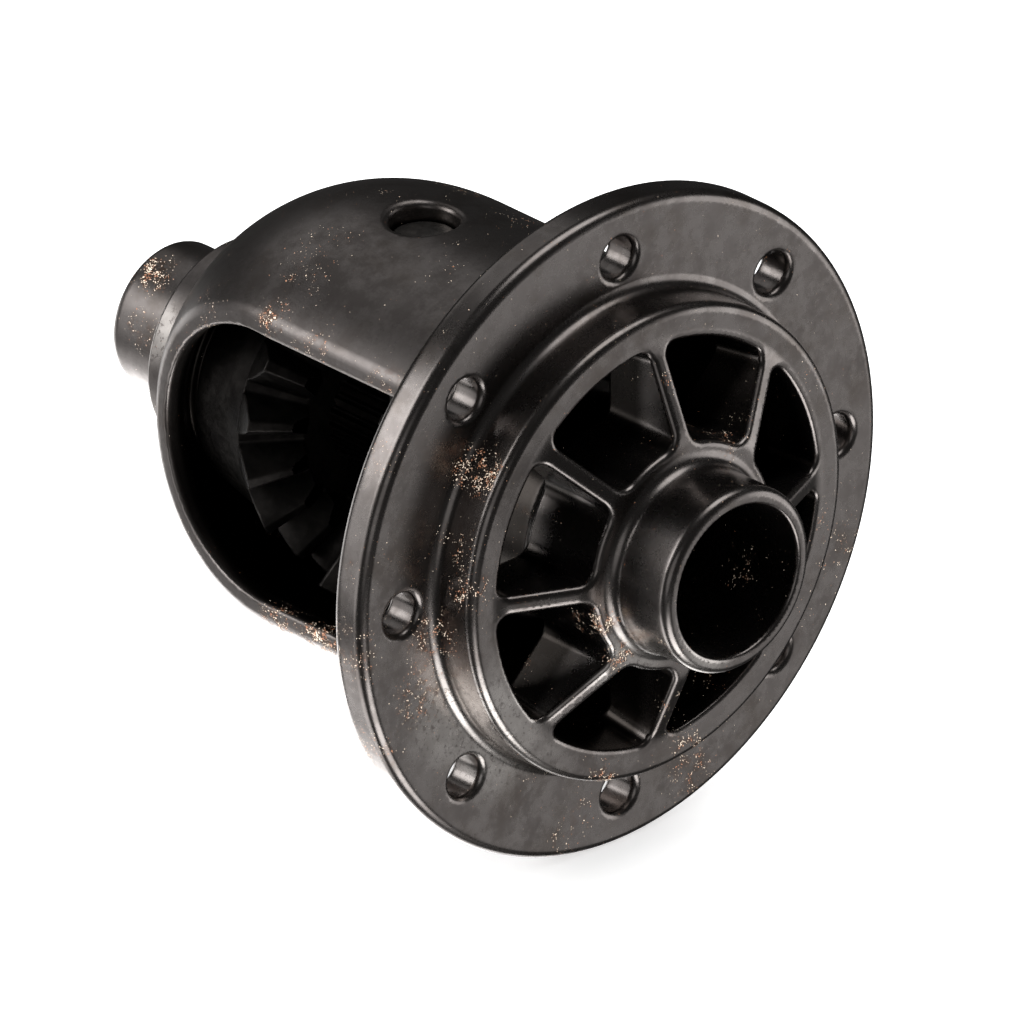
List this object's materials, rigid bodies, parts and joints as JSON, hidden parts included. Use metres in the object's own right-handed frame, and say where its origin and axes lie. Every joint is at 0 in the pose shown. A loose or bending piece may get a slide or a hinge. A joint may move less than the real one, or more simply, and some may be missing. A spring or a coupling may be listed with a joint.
{
  "type": "open differential case with gears",
  "caption": "One-piece cast differential case with a bolting flange, ribbed end wall, a side window and bearing journals, holding a bevel gear set on a cross pin.",
  "frame": {"origin": "where the axle axis crosses the cross pin axis, which is the apex of the four bevel gears", "axes": "+X along the axle axis, out of the flanged end; +Z along the cross pin, up; the window faces -Y"},
  "size_m": [0.1898, 0.16, 0.16],
  "materials": {
    "cast_iron": "dark cast iron, semi-matt, soft edges, fine rust speckle",
    "ground_steel": "ground hardened steel, oiled and darkened",
    "gear_steel": "case-hardened gear steel, dark, oiled",
    "washer_steel": "phosphated thrust washer steel"
  },
  "bodies": {
    "case": {"differential_case": "cast_iron", "cross_pin": "ground_steel", "lock_pin": "ground_steel", "pinion_thrust_washer_upper": "washer_steel", "pinion_thrust_washer_lower": "washer_steel", "side_thrust_washer_front": "washer_steel", "side_thrust_washer_rear": "washer_steel"},
    "side_gear_front": {"side_gear_front": "gear_steel"},
    "side_gear_rear": {"side_gear_rear": "gear_steel"},
    "pinion_gear_upper": {"pinion_gear_upper": "gear_steel"},
    "pinion_gear_lower": {"pinion_gear_lower": "gear_steel"}
  },
  "joints": [
    {"name": "side_gear_front_spin", "type": "hinge", "parent": "case", "child": "side_gear_front", "pos_m": [0.03, 0, 0], "axis": [1, 0, 0], "continuous": true},
    {"name": "side_gear_rear_spin", "type": "hinge", "parent": "case", "child": "side_gear_rear", "pos_m": [-0.03, 0, 0], "axis": [1, 0, 0], "continuous": true},
    {"name": "pinion_upper_spin", "type": "hinge", "parent": "case", "child": "pinion_gear_upper", "pos_m": [0, 0, 0.03], "axis": [0, 0, 1], "continuous": true},
    {"name": "pinion_lower_spin", "type": "hinge", "parent": "case", "child": "pinion_gear_lower", "pos_m": [0, 0, -0.03], "axis": [0, 0, 1], "continuous": true}
  ],
  "couplings": [
    {"joint": "side_gear_rear_spin", "follows": "side_gear_front_spin", "ratio": -1},
    {"joint": "pinion_upper_spin", "follows": "side_gear_front_spin", "ratio": -1.6},
    {"joint": "pinion_lower_spin", "follows": "side_gear_front_spin", "ratio": 1.6}
  ]
}
